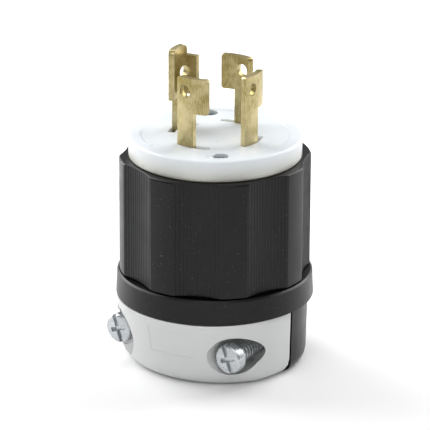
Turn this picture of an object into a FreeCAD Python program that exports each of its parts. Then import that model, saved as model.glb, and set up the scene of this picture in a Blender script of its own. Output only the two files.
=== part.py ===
import FreeCAD, Part
import os
import re
import Sketcher

# Four-wire locking power plug, in millimetres.
# The plug stands on its cord end: Z is the plug's axis, the floor is z = 0 and the blades point up.
# The heads of the cord clamp's two screws face -Y, and the split between the clamp halves is the XZ plane.
# Angles are counted anticlockwise from +X as seen from above the face.

SIZES = [
    ("clamp_height", 18.0, "floor to the underside of the ring"),
    ("ring_height", 6.35, "smooth ring between clamp and fluted shell"),
    ("ring_radius", 25.4, "ring at its lower edge, the widest round, which the other rounds follow"),
    ("ring_draft", 0.3, "how much the ring narrows to its upper edge"),
    ("ring_edge", 0.45, "chamfer on the ring's upper edge"),
    ("seam_height", 0.3, "open seam between ring and shell"),
    ("seat_setback", 2.2, "low land on the ring that the shell stands on, in from the shell's lands"),
    ("housing_wall", 2.0, "wall of the spigot that goes up inside the shell"),
    ("chamber_height", 12.0, "wiring chamber, from the ring's underside to the terminal body"),
    ("shell_height", 30.25, "fluted shell"),
    ("land_setback", 0.9, "shell's eight smooth lands, in from the ring"),
    ("land_edge", 0.35, "chamfer at the top of the lands"),
    ("flute_depth", 1.55, "middle of a flute, in from the lands"),
    ("flute_cutter_radius", 26.0, "radius of the hollow flute"),
    ("flute_count", 8, "flutes round the shell"),
    ("flute_turn", 25.0, "angle of the first flute"),
    ("shell_wall", 3.9, "shell from its lands to its bore"),
    ("module_clearance", 0.2, "play in the bore round the parts inside, on the radius"),
    ("face_setback", 2.4, "moulded face disc, in from the shell's lands"),
    ("face_height", 5.5, "face disc above the shell"),
    ("face_rim_round", 0.7, "round on the rim of the face"),
    ("face_foot", 0.3, "chamfer at the foot of the face disc"),
    ("face_border", 3.4, "border of the face round its shallow dish"),
    ("face_dish_slope", 0.5, "width of the slope round the dish"),
    ("face_dish_depth", 0.3, "depth of the dish"),
    ("face_spigot", 8.0, "depth of the face's spigot inside the shell"),
    ("blade_radius", 12.05, "outer face of the four curved blades"),
    ("blade_thickness", 1.55, "brass sheet of the blades"),
    ("blade_turn", -106.5, "clockwise edge of the first blade"),
    ("leg_angle", 25.0, "width of a blade's leg"),
    ("foot_angle", 44.5, "width of a blade's hooked foot"),
    ("foot_rise", 8.9, "underside of the foot above the face"),
    ("blade_rise", 18.0, "tip of the blades above the face"),
    ("blade_corner", 0.8, "rounded corners of a foot"),
    ("blade_hole_radius", 1.65, "hole in each foot"),
    ("blade_hole_rise", 14.4, "centre of that hole above the face"),
    ("ground_trim", 5.8, "what the ground blade's arc leaves to its side tab"),
    ("ground_leg_angle", 23.2, "width of the ground blade's leg"),
    ("ground_foot_angle", 38.7, "width of the ground blade's foot"),
    ("ground_foot_rise", 8.3, "underside of the ground blade's foot above the face"),
    ("ground_rise", 21.5, "tip of the ground blade above the face"),
    ("ground_corner", 1.4, "rounded corners of the ground blade's tip"),
    ("tab_length", 2.6, "side tab of the ground blade, inward from its arc"),
    ("tab_lean", 21.0, "angle of the side tab away from the radius"),
    ("tab_rise", 18.6, "top of the side tab above the face"),
    ("slot_depth", 1.85, "blade's buried body below the face"),
    ("slot_clearance", 0.15, "play round the blades in their slots"),
    ("slot_end_angle", 1.0, "play at each end of a slot"),
    ("shoulder_height", 2.2, "shoulder that holds a blade under the face"),
    ("shoulder_angle", 4.5, "how far the shoulder stands past the slot at each end"),
    ("terminal_rise", 8.5, "terminal screws above the foot of the terminal body"),
    ("terminal_tail", 2.6, "end of a terminal strip above the foot of the terminal body"),
    ("terminal_width", 8.4, "terminal strips and pressure plates"),
    ("pocket_width", 9.8, "terminal pockets"),
    ("pocket_floor", 9.2, "inner end of the terminal pockets, from the axis"),
    ("wire_gap", 2.6, "room for the wire between strip and pressure plate"),
    ("plate_thickness", 1.2, "pressure plate"),
    ("plate_height", 8.6, "pressure plate along the axis"),
    ("terminal_screw_radius", 1.9, "terminal screw shank"),
    ("terminal_head_radius", 3.4, "terminal screw head"),
    ("terminal_head_height", 2.2, "terminal screw head"),
    ("terminal_tip", 9.7, "tip of the terminal screws, from the axis"),
    ("screw_clearance", 0.1, "play round every screw, on the radius"),
    ("assembly_inset", 3.4, "assembly screws, in from the bore's parts"),
    ("assembly_turn", -49.5, "angle of the first assembly screw"),
    ("assembly_hole_radius", 2.0, "well over each assembly screw in the face"),
    ("assembly_well_depth", 9.0, "depth of that well from the top of the rim"),
    ("assembly_head_radius", 1.85, "assembly screw head"),
    ("assembly_head_height", 1.6, "assembly screw head"),
    ("assembly_screw_radius", 1.3, "assembly screw shank"),
    ("assembly_length", 30.0, "assembly screw under its head"),
    ("boss_radius", 3.2, "bosses in the wiring chamber"),
    ("clamp_setback", 1.4, "black clamp half under the ring, in from the ring"),
    ("cover_setback", 1.0, "grey clamp half under the ring, in from the ring"),
    ("clamp_draft", 1.3, "angle by which the clamp halves narrow to the floor"),
    ("clamp_round", 3.2, "round on the black half's lower edge"),
    ("cover_round", 4.8, "round on the grey half's lower edge"),
    ("front_centre", 3.0, "centre of the grey half's flatter front, behind the axis"),
    ("front_lean", 9.9, "angle by which that front leans in to the floor"),
    ("clamp_top_gap", 0.25, "play between the grey half and the ring"),
    ("split_gap", 1.3, "gap between the halves, with the screws backed out"),
    ("cord_bore_radius", 9.3, "cord entry"),
    ("tooth_height", 0.9, "grip teeth in the cord entry"),
    ("tooth_width", 1.4, "grip teeth along the axis, at their root"),
    ("tooth_tip", 0.4, "flat tip of the grip teeth"),
    ("tooth_pitch", 3.4, "grip teeth, one to the next"),
    ("tooth_count", 4, "grip teeth along the cord entry"),
    ("tooth_start", 3.0, "first grip tooth above the floor"),
    ("clamp_wall", 2.8, "outer wall of the cored clamp halves"),
    ("saddle_wall", 2.6, "wall round the cord entry"),
    ("clamp_floor", 3.2, "bottom wall of the clamp halves"),
    ("core_angle", 62.0, "width of the core between the screw pillars"),
    ("clamp_screw_inset", 6.6, "clamp screws, in from the black half's side"),
    ("clamp_screw_z", 8.6, "clamp screws above the floor"),
    ("clamp_screw_radius", 2.0, "clamp screw thread"),
    ("clamp_screw_length", 25.0, "clamp screw under its head"),
    ("clamp_screw_backout", 10.75, "how far the heads stand off their seats"),
    ("clamp_hole_depth", 11.5, "threaded holes in the black half, from the XZ plane"),
    ("clamp_head_radius", 3.8, "clamp screw head"),
    ("clamp_head_height", 2.75, "clamp screw head"),
    ("clamp_head_edge", 0.35, "chamfer on the head"),
    ("well_radius", 4.8, "wells for the clamp screw heads"),
    ("well_reach", 19.4, "floor of those wells, in from the round of the grey half"),
    ("recess_width", 1.1, "slot and cross in the screw heads"),
    ("recess_depth", 1.1, "slot in the screw heads"),
    ("cross_length", 4.4, "cross in the screw heads"),
    ("recess_turn", 20.0, "turn of the slots from upright"),
]

# Sizes that follow from others
DERIVED = {
    "ring_top_radius": "ring_radius - ring_draft",
    "land_radius": "ring_radius - land_setback",
    "seat_radius": "land_radius - seat_setback",
    "flute_centre": "land_radius - flute_depth + flute_cutter_radius",
    "bore_radius": "land_radius - shell_wall",
    "module_radius": "bore_radius - module_clearance",
    "face_radius": "land_radius - face_setback",
    "face_dish_radius": "face_radius - face_border",
    "assembly_circle": "module_radius - assembly_inset",
    "clamp_radius": "ring_radius - clamp_setback",
    "clamp_foot_radius": "clamp_radius - clamp_height * tan(clamp_draft)",
    "cover_top": "clamp_height - clamp_top_gap",
    "cover_radius": "ring_radius - cover_setback",
    "cover_foot_radius": "cover_radius - cover_top * tan(clamp_draft)",
    "front_top_radius": "ring_radius + front_centre",
    "front_foot_radius": "front_top_radius - cover_top * tan(front_lean)",
    "clamp_screw_x": "clamp_radius - clamp_screw_inset",
    "well_floor": "cover_radius - well_reach",
}
RING_TOP = "clamp_height + ring_height"
SHELL_BOTTOM = RING_TOP + " + seam_height"
SHELL_TOP = SHELL_BOTTOM + " + shell_height"
FACE_TOP = SHELL_TOP + " + face_height"
FACE_SEAT = SHELL_TOP + " - face_spigot"
MODULE_BOTTOM = "clamp_height + chamber_height"
BLADE_INSIDE = "blade_radius - blade_thickness"
SCREW_Z = MODULE_BOTTOM + " + terminal_rise"
SCREW_PLAY = "terminal_screw_radius + screw_clearance"
PLATE_X = "blade_radius + wire_gap"
HEAD_X = PLATE_X + " + plate_thickness"
WELL_FLOOR = FACE_TOP + " - assembly_well_depth"
SCREW_HOLE = "assembly_screw_radius + screw_clearance"
CHAMBER = "module_radius - housing_wall"
CLAMP_THREAD = "clamp_screw_radius + screw_clearance"
ROUND_BANDS = 4  # straight bands that stand for the round on a turned corner

doc = FreeCAD.newDocument("LockingPlug")
sheet = doc.addObject("Spreadsheet::Sheet", "Sizes")
for line, (alias, value, note) in enumerate(SIZES, start=1):
    sheet.set("A%d" % line, alias)
    sheet.set("B%d" % line, str(value))
    sheet.setAlias("B%d" % line, alias)
    sheet.set("C%d" % line, note)
doc.recompute()

ALIASES = {alias for alias, value, note in SIZES}
nodes = []


def bound(text):
    """Turn a formula in plain size names into one that reads the sheet."""
    def read(match):
        word = match.group()
        if word in DERIVED:
            return "(%s)" % bound(DERIVED[word])
        return "Sizes." + word if word in ALIASES else word
    return re.sub(r"[a-z_]+", read, text)


def bind(thing, where, text):
    thing.setExpression(where, bound(text))


def place(thing, at=("0", "0", "0"), axis=(0, 0, 1), turn="0"):
    """Put a thing at a point, turned about an axis, all three bound to the sheet."""
    thing.Placement = FreeCAD.Placement(FreeCAD.Vector(), FreeCAD.Rotation(FreeCAD.Vector(*axis), 10))
    for letter, text in zip("xyz", at):
        bind(thing, "Placement.Base." + letter, text)
    bind(thing, "Placement.Rotation.Angle", turn)
    return thing


def cylinder(name, radius, height, at=("0", "0", "0"), axis=(0, 0, 1), turn="0", angle="360"):
    thing = doc.addObject("Part::Cylinder", name)
    bind(thing, "Radius", radius)
    bind(thing, "Height", height)
    bind(thing, "Angle", angle)
    return place(thing, at, axis, turn)


def box(name, length, width, height, at=("0", "0", "0"), axis=(0, 0, 1), turn="0"):
    thing = doc.addObject("Part::Box", name)
    bind(thing, "Length", length)
    bind(thing, "Width", width)
    bind(thing, "Height", height)
    return place(thing, at, axis, turn)


def fuse(name, things):
    result = doc.addObject("Part::MultiFuse", name)
    result.Shapes = things
    result.Refine = True
    return result


def common(name, things):
    """What all the things share."""
    result = doc.addObject("Part::MultiCommon", name)
    result.Shapes = things
    result.Refine = True
    return result


def cut(name, base, tools):
    """Cut one or more tools out of a base."""
    result = doc.addObject("Part::Cut", name)
    result.Base = base
    result.Tool = tools[0] if len(tools) == 1 else fuse(name + "_tools", tools)
    result.Refine = True
    return result


def moved(name, thing, at=("0", "0", "0"), axis=(0, 0, 1), turn="0"):
    """Carry a thing that has a place of its own to a further place."""
    carrier = doc.addObject("Part::Compound", name)
    carrier.Links = [thing]
    return place(carrier, at, axis, turn)


def radial(name, radius, start, end, height, turn):
    """Cylinder that points away from the Z axis, between two distances from it."""
    rod = cylinder(name + "_rod", radius, "(%s) - (%s)" % (end, start), (start, "0", height), (0, 1, 0), "90")
    return moved(name, rod, turn=turn)


def sector(name, inner, outer, bottom, top, angle, turn="0"):
    """Piece of a tube wall between two heights, swept anticlockwise through an angle."""
    height = "(%s) - (%s)" % (top, bottom)
    whole = cylinder(name + "_whole", outer, height, ("0", "0", bottom), angle=angle)
    core = cylinder(name + "_core", inner, height + " + 2", ("0", "0", bottom + " - 1"))
    return place(cut(name, whole, [core]), turn=turn)


def origin_plane(body, role):
    return [feature for feature in body.Origin.OriginFeatures if feature.Role == role][0]


def sketch_on(body, name, role):
    sketch = body.newObject("Sketcher::SketchObject", name)
    sketch.AttachmentSupport = [(origin_plane(body, role), "")]
    sketch.MapMode = "FlatFace"
    return sketch


def profile(body, name, points):
    """Closed outline of straight edges in the XZ plane, with each corner's radius and height bound."""
    sketch = sketch_on(body, name, "XZ_Plane")
    last = len(points) - 1
    starts = [FreeCAD.Vector(10.0 + index, 10.0 + index * index, 0) for index in range(len(points))]
    for index, start in enumerate(starts):
        end = starts[0] if index == last else starts[index + 1]
        sketch.addGeometry(Part.LineSegment(start, end), False)
    for index in range(len(points)):
        follower = 0 if index == last else index + 1
        sketch.addConstraint(Sketcher.Constraint("Coincident", index, 2, follower, 1))
    for index, (radius, height) in enumerate(points):
        start = starts[index]
        for kind, text, value in (("DistanceX", radius, start.x), ("DistanceY", height, start.y)):
            number = sketch.addConstraint(Sketcher.Constraint(kind, -1, 1, index, 1, value))
            bind(sketch, "Constraints[%d]" % number, text)
    return sketch


def turned(body, name, points):
    """Turn an outline once round the Z axis, as the next feature of a body."""
    feature = body.newObject("PartDesign::Revolution", name)
    feature.Profile = profile(body, name + "_outline", points)
    feature.ReferenceAxis = (feature.Profile[0], ["V_Axis"])
    feature.Angle = 360
    return feature


def rounded_corner(radius, level, way, size, lean):
    """Round between a level face and a side that leans, as corner points in straight bands."""
    points = []
    for step in range(ROUND_BANDS + 1):
        angle = "90 - (90 - %s) * %d / %d" % (lean, step, ROUND_BANDS)
        centre = "%s - %s * tan(45 - %s / 2)" % (radius, size, lean)
        points.append(("%s + %s * cos(%s)" % (centre, size, angle),
                       "%s %s %s * (1 - sin(%s))" % (level, way, size, angle)))
    return points


def node(thing, name):
    thing.Label = name
    nodes.append(thing)
    return thing


def grip_teeth(body, name):
    """Ring-shaped teeth along the cord entry."""
    root = "cord_bore_radius + saddle_wall / 2"
    tooth = turned(body, name, [
        (root, "tooth_start"),
        ("cord_bore_radius", "tooth_start"),
        ("cord_bore_radius - tooth_height", "tooth_start + (tooth_width - tooth_tip) / 2"),
        ("cord_bore_radius - tooth_height", "tooth_start + (tooth_width + tooth_tip) / 2"),
        ("cord_bore_radius", "tooth_start + tooth_width"),
        (root, "tooth_start + tooth_width")])
    row = body.newObject("PartDesign::LinearPattern", name + "_row")
    row.Originals = [tooth]
    row.Direction = (origin_plane(body, "Z_Axis"), [""])
    bind(row, "Length", "tooth_pitch * (tooth_count - 1)")
    bind(row, "Occurrences", "tooth_count")
    body.Tip = row
    return row


def clamp_core(name, outer, turn):
    """Core between the screw pillars, open at the top."""
    return sector(name, "cord_bore_radius + saddle_wall", outer + " - clamp_wall",
                  "clamp_floor", "clamp_height", "core_angle", turn)


# Fluted shell: a sleeve with eight hollow flutes and smooth lands between them
shell_body = doc.addObject("PartDesign::Body", "shell_body")
sleeve = turned(shell_body, "sleeve", [
    ("bore_radius", SHELL_BOTTOM),
    ("land_radius", SHELL_BOTTOM),
    ("land_radius", SHELL_TOP + " - land_edge"),
    ("land_radius - land_edge", SHELL_TOP),
    ("bore_radius", SHELL_TOP)])
flute_outline = sketch_on(shell_body, "flute_outline", "XY_Plane")
first_centre, first_radius = 50.0, 20.0  # the bound constraints below take over from these
first_circle = Part.Circle(FreeCAD.Vector(first_centre, 0, 0), FreeCAD.Vector(0, 0, 1), first_radius)
flute_outline.addGeometry(first_circle, False)
flute_outline.addConstraint(Sketcher.Constraint("PointOnObject", 0, 3, -1))
place_number = flute_outline.addConstraint(Sketcher.Constraint("DistanceX", -1, 1, 0, 3, first_centre))
bind(flute_outline, "Constraints[%d]" % place_number, "flute_centre")
size_number = flute_outline.addConstraint(Sketcher.Constraint("Radius", 0, first_radius))
bind(flute_outline, "Constraints[%d]" % size_number, "flute_cutter_radius")
flute = shell_body.newObject("PartDesign::Pocket", "flute")
flute.Profile = flute_outline
flute.Type = "ThroughAll"
flute.Reversed = True
flutes = shell_body.newObject("PartDesign::PolarPattern", "flutes")
flutes.Originals = [flute]
flutes.Axis = (origin_plane(shell_body, "Z_Axis"), [""])
flutes.Angle = 360
bind(flutes, "Occurrences", "flute_count")
shell_body.Tip = flutes
place(shell_body, turn="flute_turn")
node(shell_body, "fluted_shell")

# Face: a thick disc on the shell, with a spigot in the shell's bore
face_body = doc.addObject("PartDesign::Body", "face_body")
rim = rounded_corner("face_radius", FACE_TOP, "-", "face_rim_round", "0")
turned(face_body, "disc", [
    ("0", FACE_SEAT),
    ("module_radius", FACE_SEAT),
    ("module_radius", SHELL_TOP),
    ("face_radius - face_foot", SHELL_TOP),
    ("face_radius", SHELL_TOP + " + face_foot")] + rim[::-1] + [
    ("face_dish_radius + face_dish_slope", FACE_TOP),
    ("face_dish_radius", FACE_TOP + " - face_dish_depth"),
    ("0", FACE_TOP + " - face_dish_depth")])


def tab_box(name, bottom, top, play):
    """Side tab of the ground blade, or the part of its slot that the tab goes through."""
    reach = "blade_thickness"
    corner = (BLADE_INSIDE + " + %s * cos(tab_lean) + %s * sin(tab_lean)" % (reach, play),
              "%s * sin(tab_lean) + %s" % (reach, play), bottom)
    return box(name, "tab_length + %s + %s" % (reach, play), "blade_thickness + 2 * %s" % play,
               "(%s) - (%s)" % (top, bottom), corner, turn="180 + tab_lean")


def blade_slot(index):
    """Slot in the face, as long as the foot that was pushed through it."""
    slot = sector("slot_%d" % index, BLADE_INSIDE + " - slot_clearance", "blade_radius + slot_clearance",
                  FACE_SEAT + " - 1", FACE_TOP + " + 1", "foot_angle + 2 * slot_end_angle",
                  "blade_turn + 90 * %d - slot_end_angle" % index)
    return slot


slots = [blade_slot(index) for index in range(4)]
tab_slot = moved("tab_slot", tab_box("tab_slot_box", FACE_SEAT + " - 1", FACE_TOP + " + 1", "slot_clearance"),
                 turn="blade_turn + 270 + ground_trim")


def assembly_axis(name, radius, bottom, top, index):
    """Cylinder on the axis of one of the two assembly screws."""
    turn = "assembly_turn + 180 * %d" % index
    at = ("assembly_circle * cos(%s)" % turn, "assembly_circle * sin(%s)" % turn, bottom)
    return cylinder(name + "_%d" % index, radius, "(%s) - (%s)" % (top, bottom), at)


wells = [assembly_axis("well", "assembly_hole_radius", WELL_FLOOR, FACE_TOP + " + 1", index)
         for index in range(2)]
face_holes = [assembly_axis("face_hole", SCREW_HOLE, FACE_SEAT + " - 1", FACE_TOP, index)
              for index in range(2)]
node(cut("face_cut", face_body, slots + [tab_slot] + wells + face_holes), "blade_face")


# Blades: curved brass strips with a hooked foot, a buried body, a shoulder and a terminal strip
def blade(name, index, trim, leg, foot, foot_rise, rise, corner, tab):
    face = FACE_TOP + " - face_dish_depth"
    foot_z = face + " + " + foot_rise
    tip_z = face + " + " + rise
    body_z = FACE_TOP + " - slot_depth"
    layers = [
        ("leg", body_z, foot_z, leg, "0"),
        ("foot", foot_z, tip_z, foot, "0"),
        ("body", FACE_SEAT, body_z, foot, "0"),
        ("shoulder", FACE_SEAT + " - shoulder_height", FACE_SEAT,
         foot + " + 2 * shoulder_angle", "-shoulder_angle"),
    ]
    pieces = []
    for word, bottom, top, angle, turn in layers:
        height = "(%s) - (%s)" % (top, bottom)
        piece = cylinder(name + "_" + word, "blade_radius", height, ("0", "0", bottom), turn=turn, angle=angle)
        pieces.append(piece)
    inside = cylinder(name + "_inside", BLADE_INSIDE, "%s - (%s)" % (tip_z, MODULE_BOTTOM),
                      ("0", "0", MODULE_BOTTOM))
    curved = cut(name + "_curved", fuse(name + "_layers", pieces), [inside])
    middle = "foot_angle / 2 - %s" % trim
    strip_low = MODULE_BOTTOM + " + terminal_tail"
    strip = box(name + "_strip", "blade_thickness", "terminal_width",
                "(%s) - (%s)" % (FACE_SEAT + " - shoulder_height / 2", strip_low),
                (BLADE_INSIDE, "-terminal_width / 2", strip_low))
    solids = [curved, moved(name + "_strip_turned", strip, turn=middle)]
    if tab:
        solids.append(tab_box(name + "_tab", foot_z, face + " + tab_rise", "0"))
        solids.append(tab_box(name + "_tab_root", FACE_SEAT, body_z, "0"))
    hole = radial(name + "_hole", "blade_hole_radius", "0", "blade_radius + 2", face + " + blade_hole_rise",
                  "leg_angle / 2 - %s" % trim)
    thread = radial(name + "_thread", SCREW_PLAY, "0", "module_radius", SCREW_Z, middle)
    plain = cut(name + "_plain", fuse(name + "_solids", solids), [hole, thread])
    doc.recompute()
    tip_height = max(vertex.Z for vertex in plain.Shape.Vertexes)
    foot_height = tip_height - getattr(sheet, rise) + getattr(sheet, foot_rise)
    radius = getattr(sheet, corner)
    picked = []
    for number, edge in enumerate(plain.Shape.Edges, start=1):
        ends = [vertex.Point for vertex in edge.Vertexes]
        if len(ends) != 2 or not isinstance(edge.Curve, Part.Line):
            continue
        level = abs(ends[0].z - ends[1].z) < 0.001
        outward = abs(ends[0].x * ends[1].y - ends[0].y * ends[1].x) < 0.001
        tip = abs(ends[0].z - tip_height) < 0.001
        toe = abs(ends[0].z - foot_height) < 0.001 and ends[0].y > sheet.blade_radius * 0.6
        if level and outward and (tip or toe):
            picked.append((number, radius, radius))
    smooth = doc.addObject("Part::Fillet", name + "_smooth")
    smooth.Base = plain
    smooth.Edges = picked
    place(smooth, turn="blade_turn + 90 * %d + %s" % (index, trim))
    return node(smooth, name)


BLADES = ["blade_hot_x", "blade_neutral", "blade_hot_y", "blade_ground"]
for blade_index, blade_name in enumerate(BLADES[:3]):
    blade(blade_name, blade_index, "0", "leg_angle", "foot_angle", "foot_rise", "blade_rise",
          "blade_corner", False)
blade(BLADES[3], 3, "ground_trim", "ground_leg_angle", "ground_foot_angle", "ground_foot_rise",
      "ground_rise", "ground_corner", True)

# Terminal body: carries the blades' shoulders under the face and walls off the four terminals
body_blank = cylinder("terminal_blank", "module_radius", "(%s) - (%s)" % (FACE_SEAT, MODULE_BOTTOM),
                      ("0", "0", MODULE_BOTTOM))
body_tools = []
for pocket_index in range(4):
    pocket_turn = "blade_turn + foot_angle / 2 + 90 * %d" % pocket_index
    pocket = box("pocket_%d" % pocket_index, "module_radius", "pocket_width",
                 "(%s) - (%s) + 2" % (FACE_SEAT, MODULE_BOTTOM),
                 ("pocket_floor", "-pocket_width / 2", MODULE_BOTTOM + " - 1"))
    ledge = sector("ledge_%d" % pocket_index, BLADE_INSIDE + " - slot_clearance",
                   "blade_radius + slot_clearance", FACE_SEAT + " - shoulder_height", FACE_SEAT + " + 1",
                   "foot_angle + 2 * shoulder_angle + 2 * slot_end_angle",
                   "-foot_angle / 2 - shoulder_angle - slot_end_angle")
    body_tools.append(place(fuse("pocket_with_ledge_%d" % pocket_index, [pocket, ledge]), turn=pocket_turn))
for hole_index in range(2):
    body_tools.append(assembly_axis("body_hole", SCREW_HOLE, MODULE_BOTTOM + " - 1", FACE_SEAT + " + 1",
                                    hole_index))
node(cut("terminal_body_cut", body_blank, body_tools), "terminal_body")

# Pressure plates and terminal screws, one set for each blade
for blade_index, blade_name in enumerate(BLADES):
    ending = blade_name.replace("blade_", "")
    terminal_turn = "blade_turn + foot_angle / 2 + 90 * %d" % blade_index
    plate = box("plate_" + ending, "plate_thickness", "terminal_width", "plate_height",
                (PLATE_X, "-terminal_width / 2", SCREW_Z + " - plate_height / 2"))
    plate_hole = radial("plate_hole_" + ending, SCREW_PLAY, "0", "module_radius", SCREW_Z, "0")
    plate_with_hole = cut("plate_cut_" + ending, plate, [plate_hole])
    node(place(plate_with_hole, turn=terminal_turn), "pressure_plate_" + ending)
    head = radial("terminal_head_" + ending, "terminal_head_radius", HEAD_X,
                  HEAD_X + " + terminal_head_height", SCREW_Z, "0")
    shank = radial("terminal_shank_" + ending, "terminal_screw_radius", "terminal_tip", HEAD_X, SCREW_Z, "0")
    slot_cut = box("terminal_slot_" + ending, "terminal_head_height", "recess_width",
                   "3 * terminal_head_radius",
                   (HEAD_X + " + terminal_head_height / 2", "-recess_width / 2",
                    SCREW_Z + " - 1.5 * terminal_head_radius"))
    bolt = fuse("terminal_bolt_" + ending, [head, shank])
    node(place(cut("terminal_screw_cut_" + ending, bolt, [slot_cut]), turn=terminal_turn),
         "terminal_screw_" + ending)

# Rear housing: ring, spigot in the shell, and the black half of the cord clamp in one moulding
housing_body = doc.addObject("PartDesign::Body", "housing_body")
housing_foot = rounded_corner("clamp_foot_radius", "0", "+", "clamp_round", "clamp_draft")
turned(housing_body, "housing_round", [
    ("cord_bore_radius", "0")] + housing_foot + [
    ("clamp_radius", "clamp_height"),
    ("ring_radius", "clamp_height"),
    ("ring_top_radius", RING_TOP + " - ring_edge"),
    ("ring_top_radius - ring_edge", RING_TOP),
    ("seat_radius", RING_TOP),
    ("seat_radius", SHELL_BOTTOM),
    ("module_radius", SHELL_BOTTOM),
    ("module_radius", MODULE_BOTTOM),
    (CHAMBER, MODULE_BOTTOM),
    (CHAMBER, "clamp_height"),
    ("cord_bore_radius", "clamp_height")])
grip_teeth(housing_body, "housing_teeth")
bosses = [assembly_axis("boss", "boss_radius", "clamp_height", MODULE_BOTTOM, index) for index in range(2)]
housing_solid = fuse("housing_solid", [housing_body] + bosses)
front_half = box("front_half", "3 * clamp_radius", "2 * clamp_radius", "clamp_height + 1",
                 ("-1.5 * clamp_radius", "split_gap / 2 - 2 * clamp_radius", "-1"))
boss_holes = [assembly_axis("boss_hole", SCREW_HOLE, "clamp_height + 1", MODULE_BOTTOM + " + 1", index)
              for index in range(2)]


def clamp_axis(name, radius, start, end, side):
    """Cylinder on the axis of a clamp screw, between two distances from the XZ plane."""
    at = ("%s * clamp_screw_x" % side, end, "clamp_screw_z")
    return cylinder(name, radius, "(%s) - (%s)" % (end, start), at, (1, 0, 0), "90")


SIDES = [("left", "-1"), ("right", "1")]
clamp_threads = [clamp_axis("clamp_thread_" + word, CLAMP_THREAD, "0", "clamp_hole_depth", side)
                 for word, side in SIDES]
housing_core = clamp_core("housing_core", "clamp_foot_radius", "90 - core_angle / 2")
housing_tools = [front_half, housing_core] + boss_holes + clamp_threads
node(cut("housing_cut", housing_solid, housing_tools), "rear_housing")

# Grey half of the cord clamp, backed off from the black half by the open gap
cover_body = doc.addObject("PartDesign::Body", "cover_body")
cover_foot = rounded_corner("cover_foot_radius", "0", "+", "cover_round", "clamp_draft")
turned(cover_body, "cover_side", [
    ("cord_bore_radius", "0")] + cover_foot + [
    ("cover_radius", "cover_top"),
    ("cord_bore_radius", "cover_top")])
grip_teeth(cover_body, "cover_teeth")
place(cover_body, ("0", "-split_gap", "0"))
front_body = doc.addObject("PartDesign::Body", "front_body")
front_foot = rounded_corner("front_foot_radius", "0", "+", "cover_round", "front_lean")
turned(front_body, "front_side", [
    ("0", "0")] + front_foot + [
    ("front_top_radius", "cover_top"),
    ("0", "cover_top")])
place(front_body, ("0", "front_centre", "0"))
cover_blank = common("cover_blank", [cover_body, front_body])
back_half = box("back_half", "3 * clamp_radius", "2 * clamp_radius", "clamp_height + 2",
                ("-1.5 * clamp_radius", "-split_gap / 2", "-1"))
cover_core = clamp_core("cover_core", "cover_foot_radius", "270 - core_angle / 2")
cover_core_placed = moved("cover_core_placed", cover_core, ("0", "-split_gap", "0"))
front_core = doc.addObject("Part::Cone", "front_core")
bind(front_core, "Radius1", "front_foot_radius - clamp_wall")
bind(front_core, "Radius2", "front_top_radius - clamp_wall")
bind(front_core, "Height", "cover_top")
place(front_core, ("0", "front_centre", "0"))
cover_hollow = common("cover_hollow", [cover_core_placed, front_core])
cover_wells = [clamp_axis("well_" + word, "well_radius", "-2 * cover_radius", "-well_floor", side)
               for word, side in SIDES]
cover_holes = [clamp_axis("cover_hole_" + word, CLAMP_THREAD, "-cover_radius", "0", side)
               for word, side in SIDES]
cover_tools = [back_half, cover_hollow] + cover_wells + cover_holes
node(cut("cover_cut", cover_blank, cover_tools), "cord_clamp_cover")

# Clamp screws, with their heads standing off the seats
for word, side in SIDES:
    seat = "-well_floor - clamp_screw_backout"
    shank = clamp_axis("clamp_shank_" + word, "clamp_screw_radius", seat, seat + " + clamp_screw_length", side)
    head_body = doc.addObject("Part::Cone", "clamp_head_edge_" + word)
    bind(head_body, "Radius1", "clamp_head_radius")
    bind(head_body, "Radius2", "clamp_head_radius - clamp_head_edge")
    bind(head_body, "Height", "clamp_head_edge")
    place(head_body, ("%s * clamp_screw_x" % side, seat + " - clamp_head_height + clamp_head_edge",
                      "clamp_screw_z"), (1, 0, 0), "90")
    head = clamp_axis("clamp_head_" + word, "clamp_head_radius",
                      seat + " - clamp_head_height + clamp_head_edge", seat, side)
    bolt = fuse("clamp_bolt_" + word, [shank, head, head_body])
    slot_bar = box("clamp_slot_" + word, "recess_width", "recess_depth + 1", "3 * clamp_head_radius",
                   ("-recess_width / 2", "-1", "-1.5 * clamp_head_radius"))
    cross_bar = box("clamp_cross_" + word, "cross_length", "recess_depth + 1", "recess_width",
                    ("-cross_length / 2", "-1", "-recess_width / 2"))
    recess = place(fuse("clamp_recess_" + word, [slot_bar, cross_bar]),
                   ("%s * clamp_screw_x" % side, seat + " - clamp_head_height", "clamp_screw_z"),
                   (0, 1, 0), "-recess_turn")
    node(cut("clamp_screw_cut_" + word, bolt, [recess]), "clamp_screw_" + word)

# Assembly screws, deep in the face
for screw_index, word in enumerate(("front", "back")):
    head = assembly_axis("assembly_head", "assembly_head_radius", WELL_FLOOR,
                         WELL_FLOOR + " + assembly_head_height", screw_index)
    shank = assembly_axis("assembly_shank", "assembly_screw_radius", WELL_FLOOR + " - assembly_length",
                          WELL_FLOOR, screw_index)
    turn = "assembly_turn + 180 * %d" % screw_index
    bar = box("assembly_bar_%d" % screw_index, "recess_width / 2", "3 * assembly_head_radius",
              "assembly_head_height",
              ("-recess_width / 4", "-1.5 * assembly_head_radius", "assembly_head_height / 2"))
    slot_at = ("assembly_circle * cos(%s)" % turn, "assembly_circle * sin(%s)" % turn, WELL_FLOOR)
    slot_cut = moved("assembly_slot_%d" % screw_index, bar, slot_at, turn=turn)
    bolt = fuse("assembly_bolt_%d" % screw_index, [head, shank])
    node(cut("assembly_screw_cut_%d" % screw_index, bolt, [slot_cut]), "assembly_screw_" + word)

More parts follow.
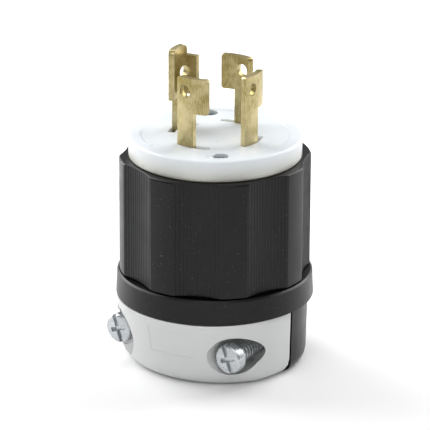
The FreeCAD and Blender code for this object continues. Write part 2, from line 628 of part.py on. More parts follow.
doc.recompute()
for thing in doc.Objects:
    if "Invalid" in thing.State or "Error" in thing.State:
        raise RuntimeError("%s did not build: %s" % (thing.Name, thing.State))
os.makedirs("parts", exist_ok=True)
for thing in nodes:
    shape = thing.Shape
    if shape.isNull() or not shape.isValid() or shape.Volume <= 0:
        raise RuntimeError("%s has no sound shape" % thing.Label)
for thing in nodes:
    thing.Shape.exportStep("parts/%s.step" % thing.Label)
    print("%-24s %d solid  %8.2f mm3" % (thing.Label, len(thing.Shape.Solids), thing.Shape.Volume))
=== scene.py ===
# %% [markdown]
# A locking power plug, seen on a white table
#
# The plug stands on its cord end, with four curved brass blades on a white nylon face.
# Its measured solids come from the CAD model as a fixed frame, in metres.
# This lesson adds the camera, the light, the materials and the fine detail that the solids leave out.

# %% Load the frame
import math

import bmesh
import bpy
from mathutils import Matrix, Vector


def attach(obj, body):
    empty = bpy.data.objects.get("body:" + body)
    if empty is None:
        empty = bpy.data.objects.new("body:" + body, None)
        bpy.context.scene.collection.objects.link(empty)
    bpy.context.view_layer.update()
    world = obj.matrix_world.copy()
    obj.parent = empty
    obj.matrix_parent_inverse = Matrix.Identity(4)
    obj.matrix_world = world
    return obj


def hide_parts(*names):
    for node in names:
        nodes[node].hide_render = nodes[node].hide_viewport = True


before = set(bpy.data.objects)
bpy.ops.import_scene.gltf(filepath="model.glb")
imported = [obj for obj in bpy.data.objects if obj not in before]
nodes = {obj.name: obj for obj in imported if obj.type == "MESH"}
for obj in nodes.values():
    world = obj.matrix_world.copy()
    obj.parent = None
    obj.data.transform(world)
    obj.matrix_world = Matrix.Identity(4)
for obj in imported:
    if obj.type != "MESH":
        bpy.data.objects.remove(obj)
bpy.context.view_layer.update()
MM = 0.001
print("pieces in the frame:", len(nodes))

# %% [markdown]
# Colours are written as people read them, in sRGB hex, but Blender mixes light in linear values.
# One function turns the first into the second with the curve of the sRGB standard.
# Another adds a shader or geometry node, sets it and wires it, so that each recipe below stays short.

# %% Colour and node helpers


def linear(hex_colour):
    """Turn an sRGB hex colour into linear red, green and blue, with a full alpha."""
    channels = [int(hex_colour[i:i + 2], 16) / 255 for i in (1, 3, 5)]
    return tuple(c / 12.92 if c <= 0.04045 else ((c + 0.055) / 1.055) ** 2.4 for c in channels) + (1.0,)


def add(tree, kind, inputs=None, **settings):
    """Add a node: settings are its properties, inputs maps a socket to a value or a wire."""
    made = tree.nodes.new(kind)
    for name, value in settings.items():
        setattr(made, name, value)
    for key, value in (inputs or {}).items():
        socket = made.inputs[key]
        if isinstance(value, bpy.types.NodeSocket):
            tree.links.new(value, socket)
        else:
            socket.default_value = value
    return made


def material(name):
    """A new material with its node tree and its Principled shader."""
    made = bpy.data.materials.new(name)
    made.use_nodes = True
    tree = made.node_tree
    tree.nodes.clear()
    shader = add(tree, "ShaderNodeBsdfPrincipled")
    add(tree, "ShaderNodeOutputMaterial", {"Surface": shader.outputs[0]})
    return made, tree, shader


print("mid grey in linear light:", round(linear("#808080")[0], 3))

# %% [markdown]
# The camera repeats the photograph's view.
# A long lens from 0.86 m away looks down at 20 degrees, from 36 degrees to the right of the clamp screws.
# These numbers come from the ellipses that the round face and the ring draw in the picture.

# %% Camera
VIEW_TURN = math.radians(36.0)
VIEW_TILT = math.radians(20.44)
VIEW_ROLL = math.radians(0.25)
VIEW_REACH = 788.57 * MM
VIEW_HEIGHT = 332.1 * MM
SENSOR_MM = 36.0
LENS_MM = 275.35

camera_data = bpy.data.cameras.new("photo_camera")
camera_data.sensor_width = SENSOR_MM
camera_data.lens = LENS_MM
camera_data.clip_start = 0.05
camera_data.clip_end = 20.0
camera = bpy.data.objects.new("photo_camera", camera_data)
bpy.context.scene.collection.objects.link(camera)
camera.matrix_world = (
    Matrix.Translation((VIEW_REACH * math.sin(VIEW_TURN), -VIEW_REACH * math.cos(VIEW_TURN), VIEW_HEIGHT))
    @ Matrix.Rotation(VIEW_TURN, 4, "Z")
    @ Matrix.Rotation(math.pi / 2 - VIEW_TILT, 4, "X")
    @ Matrix.Rotation(VIEW_ROLL, 4, "Z"))
bpy.context.scene.camera = camera
print("camera is", round(math.hypot(VIEW_REACH, VIEW_HEIGHT), 2), "m from the plug's foot")

# %% [markdown]
# The photograph was taken in a white room, whose walls only the camera's own rays are meant to see.
# For every other ray the room is dim, because black nylon and brass would mirror a bright one as a grey veil.
# The Light Path node tells the two kinds of ray apart.

# %% White room
ROOM_LEVEL = 0.2

world = bpy.data.worlds.new("studio")
bpy.context.scene.world = world
world.use_nodes = True
room = world.node_tree
room.nodes.clear()
room_ray = add(room, "ShaderNodeLightPath").outputs["Is Camera Ray"]
room_level = add(room, "ShaderNodeMapRange", {"Value": room_ray, "To Min": ROOM_LEVEL, "To Max": 1.0})
room_glow = add(room, "ShaderNodeBackground", {"Color": linear("#FFFFFF"), "Strength": room_level.outputs[0]})
add(room, "ShaderNodeOutputWorld", {"Surface": room_glow.outputs[0]})
bpy.context.scene.view_settings.view_transform = "Standard"
print("room lights the plug at", ROOM_LEVEL, "of its own white")

# %% [markdown]
# The plug stands on a sweep of white paper, where the table has no edge and only a soft shadow shows.
# A plain diffuse white catches this shadow.
# For the camera's own rays the paper also glows a little, which lifts its lit part to pure white.
# The glow grows with distance from the plug, so that the paper melts into the white room.

# %% Paper floor
FLOOR_HALF = 3.0
FLOOR_LIFT = 0.05
LIFT_NEAR = 0.2
LIFT_FAR = 1.0

floor_mesh = bpy.data.meshes.new("floor")
corners = [(x * FLOOR_HALF, y * FLOOR_HALF, 0) for x, y in ((-1, -1), (1, -1), (1, 1), (-1, 1))]
floor_mesh.from_pydata(corners, [], [(0, 1, 2, 3)])
floor = bpy.data.objects.new("floor", floor_mesh)
bpy.context.scene.collection.objects.link(floor)

white_paper = bpy.data.materials.new("white_paper_sweep")
white_paper.use_nodes = True
paper = white_paper.node_tree
paper.nodes.clear()
paper_ray = add(paper, "ShaderNodeLightPath").outputs["Is Camera Ray"]
paper_place = add(paper, "ShaderNodeTexCoord").outputs["Object"]
paper_far = add(paper, "ShaderNodeVectorMath", {0: paper_place}, operation="LENGTH").outputs["Value"]
paper_fade = add(paper, "ShaderNodeMapRange", {
    "Value": paper_far, "From Min": LIFT_NEAR, "From Max": LIFT_FAR, "To Min": FLOOR_LIFT, "To Max": 1.0})
paper_lift = add(paper, "ShaderNodeMath", {0: paper_ray, 1: paper_fade.outputs[0]}, operation="MULTIPLY")
paper_skin = add(paper, "ShaderNodeBsdfDiffuse", {"Color": linear("#F2F2F2")})
paper_glow = add(paper, "ShaderNodeEmission", {"Color": linear("#FFFFFF"), "Strength": paper_lift.outputs[0]})
paper_sum = add(paper, "ShaderNodeAddShader", {0: paper_skin.outputs[0], 1: paper_glow.outputs[0]})
add(paper, "ShaderNodeOutputMaterial", {"Surface": paper_sum.outputs[0]})
floor_mesh.materials.append(white_paper)
print("floor is", 2 * FLOOR_HALF, "m wide")

# %% [markdown]
# Product photographs are lit with large softboxes, which draw long pale stripes on satin plastic.
# In the photo both sides of the black grip turn pale and its middle stays dark.
# Two tall softboxes therefore stand behind the plug, one to each side, and only graze it.
# A broad one over the camera fills the front, and one from above and behind lights the white face.
# Area lamps are the softboxes: the larger the lamp, the softer its shadow.

# %% Softboxes
LAMP_AIM = Vector((0, 0, 0.04))


def softbox(name, turn, height, reach, width, tall, watts):
    """An area lamp, turned in degrees from the camera's direction and aimed at the plug's middle."""
    data = bpy.data.lights.new(name, "AREA")
    data.shape = "RECTANGLE"
    data.size = width
    data.size_y = tall
    data.energy = watts
    lamp = bpy.data.objects.new(name, data)
    bpy.context.scene.collection.objects.link(lamp)
    angle = VIEW_TURN + math.radians(turn)
    spot = Vector((reach * math.sin(angle), -reach * math.cos(angle), height))
    facing = (LAMP_AIM - spot).to_track_quat("-Z", "Y").to_matrix().to_4x4()
    lamp.matrix_world = Matrix.Translation(spot) @ facing


softbox("front", turn=-6, height=0.8, reach=0.75, width=0.9, tall=0.9, watts=4.5)
softbox("rim_left", turn=-125, height=0.4, reach=0.7, width=0.6, tall=0.9, watts=7.8)
softbox("rim_right", turn=126, height=0.4, reach=0.7, width=0.5, tall=0.8, watts=5.6)
softbox("top", turn=178, height=0.9, reach=0.6, width=0.9, tall=0.9, watts=3.7)
print("lamps:", len(bpy.data.lights))

# %% [markdown]
# Grip, clamp and face are moulded nylon, which the mould leaves with a fine satin grain.
# The grain is a fine noise in the bump, drawn a little coarser than life so that it shows at all.
# A broader noise varies the roughness, because no moulding cools evenly.

# %% Moulded nylon
NYLON_IOR = 1.53
GLOSS_PATCH_MM = 6.0
NOISE_LOW, NOISE_HIGH = 0.3, 0.7


def moulded_nylon(name, roughness, grain_mm, depth_mm, mottle):
    """Satin nylon with a fine grain and slightly uneven gloss; its colour is set afterwards."""
    made, tree, shader = material(name)
    where = add(tree, "ShaderNodeTexCoord").outputs["Object"]
    grain = add(tree, "ShaderNodeTexNoise", {"Vector": where, "Scale": 1.0 / (grain_mm * MM), "Detail": 3.0})
    cloud = add(tree, "ShaderNodeTexNoise", {
        "Vector": where, "Scale": 1.0 / (GLOSS_PATCH_MM * MM), "Detail": 2.0})
    rough = add(tree, "ShaderNodeMapRange", {
        "Value": cloud.outputs[0], "From Min": NOISE_LOW, "From Max": NOISE_HIGH,
        "To Min": roughness - mottle, "To Max": roughness + mottle})
    dents = add(tree, "ShaderNodeBump", {
        "Height": grain.outputs[0], "Strength": 0.6, "Distance": depth_mm * MM})
    shader.inputs["IOR"].default_value = NYLON_IOR
    tree.links.new(rough.outputs[0], shader.inputs["Roughness"])
    tree.links.new(dents.outputs[0], shader.inputs["Normal"])
    return made, tree, shader


grey_nylon, grey_tree, grey_shader = moulded_nylon(
    "grey_satin_nylon", roughness=0.45, grain_mm=0.4, depth_mm=0.015, mottle=0.04)
grey_shader.inputs["Base Color"].default_value = linear("#D6D7D7")
print("grain of", grey_nylon.name, "is 0.4 mm wide")

# %% [markdown]
# The grip and the ring are nylon filled with black carbon.
# It looks almost flat where it faces the dark room, and turns pale where it mirrors a softbox.
# Handling leaves sparse pale specks of dust: where a fine noise peaks, a lighter grey is mixed in.

# %% Black nylon
SPECK_MM = 0.45
SPECK_START, SPECK_FULL = 0.70, 0.80
SPECK_STRENGTH = 0.5

black_nylon, black_tree, black_shader = moulded_nylon(
    "black_glass_filled_nylon", roughness=0.34, grain_mm=0.35, depth_mm=0.02, mottle=0.05)
black_shader.inputs["Specular IOR Level"].default_value = 0.28
speck_place = add(black_tree, "ShaderNodeTexCoord").outputs["Object"]
specks = add(black_tree, "ShaderNodeTexNoise", {
    "Vector": speck_place, "Scale": 1.0 / (SPECK_MM * MM), "Detail": 1.0})
speck_mask = add(black_tree, "ShaderNodeMapRange", {
    "Value": specks.outputs[0], "From Min": SPECK_START, "From Max": SPECK_FULL,
    "To Min": 0.0, "To Max": SPECK_STRENGTH})
speck_mix = add(black_tree, "ShaderNodeMix", {
    "Factor": speck_mask.outputs[0], "A": linear("#070709"), "B": linear("#66676B")}, data_type="RGBA")
black_tree.links.new(speck_mix.outputs["Result"], black_shader.inputs["Base Color"])
print("specks are", SPECK_MM, "mm wide")

# %% [markdown]
# The face is unfilled white nylon, which lets light in a few millimetres deep.
# Subsurface scattering gives it the glow at its rim and the cool shade at its side.
# A colour ramp follows the height from the grip up to the rim: it paints shade on the side, darker towards
# the grip, with a warmer tone at the foot.

# %% White nylon face
FACE_LOW = 54.9 * MM
FACE_HIGH = 60.4 * MM
GLOW_DEPTH = 3.0 * MM
# These tints are painted shade: the side turns lighter from the foot (0) up to the rim (1).
PAINTED_SHADE_TINTS = [(0.0, "#D8CDB4"), (0.07, "#D2D2CA"), (0.5, "#DCDFDD"), (0.85, "#E0E4E6"), (1.0, "#E0E6EB")]

white_nylon, white_tree, white_shader = moulded_nylon(
    "translucent_white_nylon", roughness=0.32, grain_mm=0.5, depth_mm=0.012, mottle=0.05)
white_shader.inputs["Subsurface Weight"].default_value = 0.5
white_shader.inputs["Subsurface Radius"].default_value = (1.0, 1.0, 1.1)
white_shader.inputs["Subsurface Scale"].default_value = GLOW_DEPTH
face_place = add(white_tree, "ShaderNodeTexCoord").outputs["Object"]
face_level = add(white_tree, "ShaderNodeSeparateXYZ", {0: face_place}).outputs["Z"]
face_rise = add(white_tree, "ShaderNodeMapRange", {
    "Value": face_level, "From Min": FACE_LOW, "From Max": FACE_HIGH})
# The ramp paints the face's shade by height.
painted_shade_ramp = add(white_tree, "ShaderNodeValToRGB", {"Fac": face_rise.outputs[0]})
stops = painted_shade_ramp.color_ramp.elements
while len(stops) < len(PAINTED_SHADE_TINTS):
    stops.new(0.5)
for stop, (spot, tint) in zip(stops, PAINTED_SHADE_TINTS):
    stop.position = spot
    stop.color = linear(tint)
white_tree.links.new(painted_shade_ramp.outputs[0], white_shader.inputs["Base Color"])
print("face glows", GLOW_DEPTH / MM, "mm deep")

# %% [markdown]
# Two screws sit deep in wells near the rim of the face, and little light gets down to them.
# The wall of a well gets a copy of the same nylon with painted shade, darker downwards, and a painted cold
# reflection of the zinc below.
# The colour is mixed by height, so that the painted dark part lies where the eye looks deepest.

# %% Well walls with painted shade
WELL_LOW = 58.6 * MM
WELL_HIGH = 59.5 * MM

painted_well_shade_nylon, painted_well_shade_tree, painted_well_shade_shader = moulded_nylon(
    "white_nylon_painted_well_shade", roughness=0.4, grain_mm=0.5, depth_mm=0.012, mottle=0.05)
well_place = add(painted_well_shade_tree, "ShaderNodeTexCoord").outputs["Object"]
well_level = add(painted_well_shade_tree, "ShaderNodeSeparateXYZ", {0: well_place}).outputs["Z"]
well_rise = add(painted_well_shade_tree, "ShaderNodeMapRange", {
    "Value": well_level, "From Min": WELL_LOW, "From Max": WELL_HIGH})
# Painted shade and a painted cold reflection: the wall runs from a dark blue-grey low down to white at the
# mouth.
painted_well_shade_tint = add(painted_well_shade_tree, "ShaderNodeMix", {
    "Factor": well_rise.outputs[0], "A": linear("#3B626E"), "B": linear("#DDE4E7")}, data_type="RGBA")
painted_well_shade_tree.links.new(painted_well_shade_tint.outputs["Result"], painted_well_shade_shader.inputs["Base Color"])
print("well walls darken over", round((WELL_HIGH - WELL_LOW) / MM, 1), "mm")

# %% [markdown]
# The blades are stamped from rolled brass sheet, pale and slightly green where it is new.
# Rolling leaves fine lines along the blade, and fingers leave darker, duller stains.
# Stretched noise draws the lines: fine across the blade, long along the plug's axis.
# Zinc plate and turned screws use the same recipe, with round spots instead of lines.

# %% Rolled and plated metal
STAIN_MM = 5.0
TONE_LOW, TONE_HIGH = 0.17, 0.37
SMOOTHER, ROUGHER = 0.07, 0.09


def rolled_metal(name, hex_colour, dark_hex, roughness, line_mm, stretch, depth_mm):
    """Bare metal with fine drawn lines along the Z axis, as many times longer than wide as stretch says."""
    made, tree, shader = material(name)
    where = add(tree, "ShaderNodeTexCoord").outputs["Object"]
    squeezed = add(tree, "ShaderNodeMapping", {"Vector": where, "Scale": (1.0, 1.0, 1.0 / stretch)})
    lines = add(tree, "ShaderNodeTexNoise", {
        "Vector": squeezed.outputs[0], "Scale": 1.0 / (line_mm * MM), "Detail": 4.0, "Roughness": 0.6})
    stain = add(tree, "ShaderNodeTexNoise", {"Vector": where, "Scale": 1.0 / (STAIN_MM * MM), "Detail": 3.0})
    streaks = add(tree, "ShaderNodeMath", {0: lines.outputs[0], 1: stain.outputs[0]}, operation="MULTIPLY")
    tone = add(tree, "ShaderNodeMapRange", {
        "Value": streaks.outputs[0], "From Min": TONE_LOW, "From Max": TONE_HIGH})
    colour = add(tree, "ShaderNodeMix", {
        "Factor": tone.outputs[0], "A": linear(hex_colour), "B": linear(dark_hex)}, data_type="RGBA")
    rough = add(tree, "ShaderNodeMapRange", {
        "Value": lines.outputs[0], "From Min": NOISE_LOW, "From Max": NOISE_HIGH,
        "To Min": roughness - SMOOTHER, "To Max": roughness + ROUGHER})
    dents = add(tree, "ShaderNodeBump", {
        "Height": lines.outputs[0], "Strength": 0.5, "Distance": depth_mm * MM})
    shader.inputs["Metallic"].default_value = 1.0
    tree.links.new(colour.outputs["Result"], shader.inputs["Base Color"])
    tree.links.new(rough.outputs[0], shader.inputs["Roughness"])
    tree.links.new(dents.outputs[0], shader.inputs["Normal"])
    return made


brass = rolled_metal("rolled_brass", "#C8BA8E", "#978851", 0.34, line_mm=0.15, stretch=9.0, depth_mm=0.025)
zinc = rolled_metal(
    "zinc_plated_steel", "#D5D8DA", "#B4B8BC", 0.3, line_mm=0.5, stretch=1.0, depth_mm=0.03)
screw_brass = rolled_metal(
    "screw_brass", "#D2B566", "#B59A52", 0.3, line_mm=0.4, stretch=1.0, depth_mm=0.02)
green_steel = rolled_metal(
    "green_passivated_steel", "#4B8D5A", "#3B7549", 0.35, line_mm=0.4, stretch=1.0, depth_mm=0.02)
print("metals:", brass.name, zinc.name, screw_brass.name, green_steel.name)

# %% [markdown]
# Each CAD solid gets the material of its real piece, by how its name starts.
# The first row that fits counts, so a special piece stands above its family.
# Inside the plug the ground terminal has a green screw and the neutral one a silver screw.
# Both colours tell an electrician where a wire belongs.

# %% Paint the frame
FINISHES = [
    ("fluted_shell", black_nylon), ("rear_housing", black_nylon), ("cord_clamp_cover", grey_nylon),
    ("blade_face", white_nylon), ("terminal_body", white_nylon),
    ("blade_", brass), ("pressure_plate", brass),
    ("terminal_screw_neutral", zinc), ("terminal_screw_ground", green_steel), ("terminal_screw", screw_brass),
    ("clamp_screw", zinc), ("assembly_screw", zinc),
]
for name, thing in nodes.items():
    thing.data.materials.clear()
    thing.data.materials.append(next(finish for start, finish in FINISHES if name.startswith(start)))
print("painted nodes:", len(nodes))

# %% [markdown]
# Three details of the grey clamp are cut into its copy with the Boolean modifier.
# The first is a shallow bare panel beside the left screw.
# It follows the clamp's leaning front, part of a cone, so its cutter is a curved plate.

# %% Panel cutter
FRONT_CENTRE = 3.0 * MM
FRONT_TOP = 28.4 * MM
FRONT_TOP_HEIGHT = 17.75 * MM
FRONT_LEAN = math.tan(math.radians(9.9))
PANEL_TURNS = (-6.0, 20.5)
PANEL_HEIGHTS = (8.4 * MM, 15.3 * MM)
PANEL_DEPTH = 0.12 * MM
PANEL_PROUD = 2 * MM
PANEL_STEPS = 24


def shape_object(name, work):
    """Turn mesh work into a closed object with its faces outward."""
    bmesh.ops.recalc_face_normals(work, faces=work.faces)
    mesh = bpy.data.meshes.new(name)
    work.to_mesh(mesh)
    work.free()
    made = bpy.data.objects.new(name, mesh)
    bpy.context.scene.collection.objects.link(made)
    return made


def on_front(turn, height, proud):
    """A point on the clamp's leaning front, moved outward by a distance."""
    reach = FRONT_TOP - (FRONT_TOP_HEIGHT - height) * FRONT_LEAN + proud
    return Vector((reach * math.sin(turn), FRONT_CENTRE - reach * math.cos(turn), height))


def panel_cutter():
    """A curved plate that reaches a little way into the clamp's front."""
    low, high = PANEL_HEIGHTS
    first, last = PANEL_TURNS
    turns = [first + (last - first) * step / PANEL_STEPS for step in range(PANEL_STEPS + 1)]
    work = bmesh.new()
    rows = []
    for height, proud in ((low, -PANEL_DEPTH), (low, PANEL_PROUD), (high, PANEL_PROUD), (high, -PANEL_DEPTH)):
        rows.append([work.verts.new(on_front(math.radians(turn), height, proud)) for turn in turns])
    for below, above in zip(rows, rows[1:] + rows[:1]):
        for step in range(PANEL_STEPS):
            work.faces.new((below[step], below[step + 1], above[step + 1], above[step]))
    work.faces.new([row[0] for row in rows])
    work.faces.new([row[-1] for row in rows])
    return shape_object("panel_cutter", work)


panel = panel_cutter()
print("panel cutter faces:", len(panel.data.polygons))

# %% [markdown]
# The others are the mouths of the two screw wells.
# They are cut wider than in the CAD solid, because the photo shows more of the loose heads' sides.
# A round bar along the screw's own axis, a little off its centre, is enough for each.

# %% Mouth cutters
MOUTH_SIDES = 64


def mouth_cutter(name, x_mm, z_mm, radius_mm, near_mm, far_mm):
    """A round bar along Y, between two distances from the split plane."""
    work = bmesh.new()
    middle = Vector((x_mm, -(near_mm + far_mm) / 2, z_mm)) * MM
    place = Matrix.Translation(middle) @ Matrix.Rotation(math.pi / 2, 4, "X")
    bmesh.ops.create_cone(work, cap_ends=True, segments=MOUTH_SIDES, radius1=radius_mm * MM,
                          radius2=radius_mm * MM, depth=(far_mm - near_mm) * MM, matrix=place)
    return shape_object(name, work)


CLAMP_CUTTERS = [
    panel,
    mouth_cutter("left_mouth_cutter", x_mm=-17.0, z_mm=8.4, radius_mm=7.3, near_mm=16.6, far_mm=34.0),
    mouth_cutter("right_mouth_cutter", x_mm=18.15, z_mm=9.63, radius_mm=4.67, near_mm=5.4, far_mm=34.0),
]
print("clamp cutters:", len(CLAMP_CUTTERS))

# %% [markdown]
# No moulded or stamped edge is perfectly sharp: a narrow round catches a thin line of light.
# The CAD solids have sharp edges, so each visible one gets a copy that a Bevel modifier rounds.
# The copy's loose triangles are merged first and its flat areas joined, so that only real edges are left.
# The rounds shade smoothly, weighted by area, so that the flats beside them stay flat.
# The copy then stands for its solid, which stays in the model for collision.

# %% Softened edges
MERGE_DISTANCE = 0.002 * MM
FLAT_ANGLE = math.radians(0.2)
SHARP_ANGLE = math.radians(50.0)
ROUND_STEPS = 2


def baked(piece):
    """The mesh that a piece's modifiers make, with the modifiers taken off it."""
    bpy.context.view_layer.update()
    made = bpy.data.meshes.new_from_object(piece.evaluated_get(bpy.context.evaluated_depsgraph_get()))
    piece.modifiers.clear()
    return made


def softened(name, round_mm, least_angle, cutters=()):
    """A copy of a CAD node whose edges above an angle get a small round, in place of the node."""
    mesh = nodes[name].data.copy()
    work = bmesh.new()
    work.from_mesh(mesh)
    bmesh.ops.remove_doubles(work, verts=work.verts, dist=MERGE_DISTANCE)
    bmesh.ops.dissolve_limit(work, angle_limit=FLAT_ANGLE, verts=work.verts, edges=work.edges)
    work.to_mesh(mesh)
    work.free()
    piece = bpy.data.objects.new(name + "_softened", mesh)
    bpy.context.scene.collection.objects.link(piece)
    for cutter in cutters:
        bite = piece.modifiers.new(cutter.name, "BOOLEAN")
        bite.operation = "DIFFERENCE"
        bite.solver = "EXACT"
        bite.object = cutter
    edge = piece.modifiers.new("edge_round", "BEVEL")
    edge.width = round_mm * MM
    edge.segments = ROUND_STEPS
    edge.limit_method = "ANGLE"
    edge.angle_limit = math.radians(least_angle)
    piece.data = baked(piece)
    piece.data.polygons.foreach_set("use_smooth", [True] * len(piece.data.polygons))
    piece.data.set_sharp_from_angle(angle=SHARP_ANGLE)
    even = piece.modifiers.new("even_shading", "WEIGHTED_NORMAL")
    even.keep_sharp = True
    piece.data = baked(piece)
    piece.data.name = name + "_softened"
    for cutter in cutters:
        bpy.data.objects.remove(cutter)
    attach(piece, "root")
    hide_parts(name)
    return piece


# Each row says how wide the round is, in millimetres, and from which angle on an edge gets one.
SOFT_EDGES = {
    "fluted_shell": (0.16, 18), "rear_housing": (0.14, 24), "cord_clamp_cover": (0.25, 30),
    "blade_face": (0.12, 30), "clamp_screw_left": (0.12, 30), "clamp_screw_right": (0.12, 30),
    "blade_hot_x": (0.14, 30), "blade_neutral": (0.14, 30), "blade_hot_y": (0.14, 30),
    "blade_ground": (0.14, 30),
}
soft = {}
for name, (round_mm, least_angle) in SOFT_EDGES.items():
    cutters = CLAMP_CUTTERS if name == "cord_clamp_cover" else ()
    soft[name] = softened(name, round_mm, least_angle, cutters)
    print(soft[name].name, "faces:", len(soft[name].data.polygons))

# %% [markdown]
# The walls of the two wells are part of the face's mesh, so they can't be a piece of their own.
# A mesh can hold several materials, and each of its faces names one by its place in the list.
# Faces that lie close to the axis of a well and below its mouth take the nylon with painted shade.

# %% Wells in the face
WELL_CIRCLE = 17.0 * MM
WELL_TURNS = (-49.5, 130.5)
WELL_REACH = 2.08 * MM

face_mesh = soft["blade_face"].data
face_mesh.materials.append(painted_well_shade_nylon)
well_axes = [(WELL_CIRCLE * math.cos(math.radians(turn)), WELL_CIRCLE * math.sin(math.radians(turn)))
             for turn in WELL_TURNS]
shaded = 0
for side in face_mesh.polygons:
    east, north, level = side.center
    if level < WELL_HIGH and any(math.hypot(east - x, north - y) < WELL_REACH for x, y in well_axes):
        side.material_index = 1
        shaded += 1
print("well wall faces:", shaded)

# %% [markdown]
# What repeats is made by Geometry Nodes: a small tree of rules with named sizes.
# One helper starts such a tree, one ends it with real copies and a material.
# The third runs it once with its sizes and keeps the result as a plain mesh.

# %% Recipes


def recipe(name, sizes):
    """A Geometry Nodes tree with named number inputs, and the node that hands them over."""
    tree = bpy.data.node_groups.new(name, "GeometryNodeTree")
    tree.interface.new_socket("Geometry", in_out="OUTPUT", socket_type="NodeSocketGeometry")
    for word in sizes:
        tree.interface.new_socket(word, in_out="INPUT", socket_type="NodeSocketFloat")
    return tree, add(tree, "NodeGroupInput").outputs


def finished(tree, shape, finish):
    """End a tree: make its copies real, smooth them and give them their material."""
    real = add(tree, "GeometryNodeRealizeInstances", {"Geometry": shape})
    smooth = add(tree, "GeometryNodeSetShadeSmooth", {"Geometry": real.outputs[0]})
    dressed = add(tree, "GeometryNodeSetMaterial", {"Geometry": smooth.outputs[0], "Material": finish})
    add(tree, "NodeGroupOutput", {"Geometry": dressed.outputs[0]})


def grown(name, tree, sizes):
    """Run a tree once with these sizes and keep what it makes as a plain mesh."""
    holder = bpy.data.objects.new(name + "_holder", bpy.data.meshes.new(name + "_holder"))
    bpy.context.scene.collection.objects.link(holder)
    rule = holder.modifiers.new("recipe", "NODES")
    rule.node_group = tree
    for item in tree.interface.items_tree:
        if item.in_out == "INPUT":
            rule[item.identifier] = float(sizes[item.name])
    mesh = baked(holder)
    mesh.name = name
    bpy.data.objects.remove(holder)
    piece = bpy.data.objects.new(name, mesh)
    bpy.context.scene.collection.objects.link(piece)
    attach(piece, "root")
    return piece


# %% [markdown]
# Fine upright ribs fill each hollow flute, so that a hand can turn the plug with force.
# They stand about 0.9 mm apart and follow the hollow, which is an arc of 26 mm about a line outside the plug.
# Each rib's place follows from its number: first its flute, then its step across the flute.
# The law of cosines gives how far the arc is from the plug's axis at that angle.

# %% Grip ribs
RIB_SIZES = {
    "Flutes": 8, "Ribs": 13, "Step": math.radians(2.26), "First": math.radians(25.0),
    "Arc centre": 48.95 * MM, "Arc radius": 26.0 * MM, "Bottom": 24.75 * MM, "Length": 29.95 * MM,
    "Rib radius": 0.24 * MM, "Sink": 0.15 * MM,
}
RIB_SIDES = 8
MATHS = "ShaderNodeMath"

ribbing, size = recipe("grip_ribs", RIB_SIZES)
number = add(ribbing, "GeometryNodeInputIndex").outputs[0]
many = add(ribbing, MATHS, {0: size["Flutes"], 1: size["Ribs"]}, operation="MULTIPLY").outputs[0]

# The rib's number gives its flute and its angle from the middle of that flute.
share = add(ribbing, MATHS, {0: number, 1: size["Ribs"]}, operation="DIVIDE").outputs[0]
flute = add(ribbing, MATHS, {0: share}, operation="FLOOR").outputs[0]
within = add(ribbing, MATHS, {0: number, 1: size["Ribs"]}, operation="MODULO").outputs[0]
last = add(ribbing, MATHS, {0: size["Ribs"], 1: 1.0}, operation="SUBTRACT").outputs[0]
middle = add(ribbing, MATHS, {0: last, 1: 0.5}, operation="MULTIPLY").outputs[0]
offset = add(ribbing, MATHS, {0: within, 1: middle}, operation="SUBTRACT").outputs[0]
lean = add(ribbing, MATHS, {0: offset, 1: size["Step"]}, operation="MULTIPLY").outputs[0]

# That angle gives the distance from the plug's axis to the hollow floor of the flute.
cosine = add(ribbing, MATHS, {0: lean}, operation="COSINE").outputs[0]
sine = add(ribbing, MATHS, {0: lean}, operation="SINE").outputs[0]
along = add(ribbing, MATHS, {0: cosine, 1: size["Arc centre"]}, operation="MULTIPLY").outputs[0]
across = add(ribbing, MATHS, {0: sine, 1: size["Arc centre"]}, operation="MULTIPLY").outputs[0]
across_squared = add(ribbing, MATHS, {0: across, 1: across}, operation="MULTIPLY").outputs[0]
arc_squared = add(ribbing, MATHS, {0: size["Arc radius"], 1: size["Arc radius"]},
                  operation="MULTIPLY").outputs[0]
left_over = add(ribbing, MATHS, {0: arc_squared, 1: across_squared}, operation="SUBTRACT").outputs[0]
chord = add(ribbing, MATHS, {0: left_over}, operation="SQRT").outputs[0]
surface = add(ribbing, MATHS, {0: along, 1: chord}, operation="SUBTRACT").outputs[0]
reach = add(ribbing, MATHS, {0: surface, 1: size["Sink"]}, operation="SUBTRACT").outputs[0]

# Flute and angle together turn the rib round the plug.
flute_step = add(ribbing, MATHS, {0: 2 * math.pi, 1: size["Flutes"]}, operation="DIVIDE").outputs[0]
flute_turn = add(ribbing, MATHS, {0: flute, 1: flute_step, 2: size["First"]},
                 operation="MULTIPLY_ADD").outputs[0]
turn = add(ribbing, MATHS, {0: flute_turn, 1: lean}, operation="ADD").outputs[0]
turn_cosine = add(ribbing, MATHS, {0: turn}, operation="COSINE").outputs[0]
turn_sine = add(ribbing, MATHS, {0: turn}, operation="SINE").outputs[0]
east = add(ribbing, MATHS, {0: turn_cosine, 1: reach}, operation="MULTIPLY").outputs[0]
north = add(ribbing, MATHS, {0: turn_sine, 1: reach}, operation="MULTIPLY").outputs[0]
foot = add(ribbing, "ShaderNodeCombineXYZ", {"X": east, "Y": north, "Z": size["Bottom"]}).outputs[0]
spots = add(ribbing, "GeometryNodePoints", {"Count": many, "Position": foot}).outputs[0]

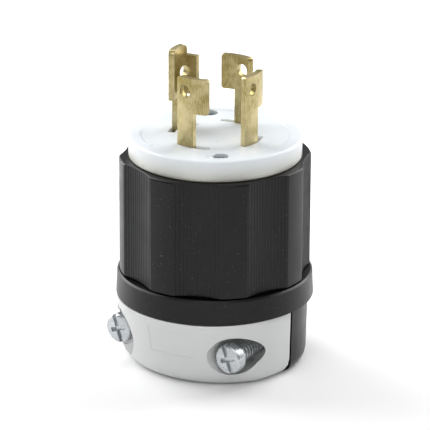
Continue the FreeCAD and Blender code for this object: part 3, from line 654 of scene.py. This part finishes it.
# One rib is a round swept up a straight line, and a copy of it stands on every spot.
head = add(ribbing, "ShaderNodeCombineXYZ", {"Z": size["Length"]}).outputs[0]
spine = add(ribbing, "GeometryNodeCurvePrimitiveLine", {"End": head}).outputs[0]
outline = add(ribbing, "GeometryNodeCurvePrimitiveCircle", {
    "Resolution": RIB_SIDES, "Radius": size["Rib radius"]}).outputs[0]
rib = add(ribbing, "GeometryNodeCurveToMesh", {
    "Curve": spine, "Profile Curve": outline, "Fill Caps": True}).outputs[0]
copies = add(ribbing, "GeometryNodeInstanceOnPoints", {"Points": spots, "Instance": rib}).outputs[0]
finished(ribbing, copies, black_nylon)
ribs = grown("grip_ribs", ribbing, RIB_SIZES)
print("rib faces:", len(ribs.data.polygons))

# %% [markdown]
# The two clamp screws are backed out, so their rolled threads show between the heads and the grey clamp.
# A thread is one ridge that winds round the shank like a spiral stair.
# Geometry Nodes sweep a small round along a spiral, and more than half of it sinks into the CAD shank.

# %% Screw threads
THREAD_SIZES = {
    "Pitch": 1.1 * MM, "Length": 10.4 * MM, "Shank radius": 1.92 * MM, "Ridge": 0.27 * MM,
    "Side": 17.4 * MM, "Start": -15.6 * MM, "Height": 8.6 * MM,
}
WIND_STEPS = 24
RIDGE_SIDES = 6

threading, size = recipe("clamp_screw_threads", THREAD_SIZES)
winds = add(threading, MATHS, {0: size["Length"], 1: size["Pitch"]}, operation="DIVIDE").outputs[0]
stair = add(threading, "GeometryNodeCurveSpiral", {
    "Resolution": WIND_STEPS, "Rotations": winds, "Start Radius": size["Shank radius"],
    "End Radius": size["Shank radius"], "Height": size["Length"]}).outputs[0]
profile = add(threading, "GeometryNodeCurvePrimitiveCircle", {
    "Resolution": RIDGE_SIDES, "Radius": size["Ridge"]}).outputs[0]
ridge = add(threading, "GeometryNodeCurveToMesh", {
    "Curve": stair, "Profile Curve": profile, "Fill Caps": True}).outputs[0]
laid = add(threading, "GeometryNodeTransform", {
    "Geometry": ridge, "Rotation": (-math.pi / 2, 0, 0)}).outputs[0]
left_side = add(threading, MATHS, {0: size["Side"], 1: -1.0}, operation="MULTIPLY").outputs[0]
left_end = add(threading, "ShaderNodeCombineXYZ", {
    "X": left_side, "Y": size["Start"], "Z": size["Height"]}).outputs[0]
right_end = add(threading, "ShaderNodeCombineXYZ", {
    "X": size["Side"], "Y": size["Start"], "Z": size["Height"]}).outputs[0]
both = add(threading, "GeometryNodeMeshLine", {"Count": 2, "Start Location": left_end, "Offset": right_end},
           mode="END_POINTS").outputs[0]
pair = add(threading, "GeometryNodeInstanceOnPoints", {"Points": both, "Instance": laid}).outputs[0]
finished(threading, pair, zinc)
threads = grown("clamp_screw_threads", threading, THREAD_SIZES)
print("thread faces:", len(threads.data.polygons))
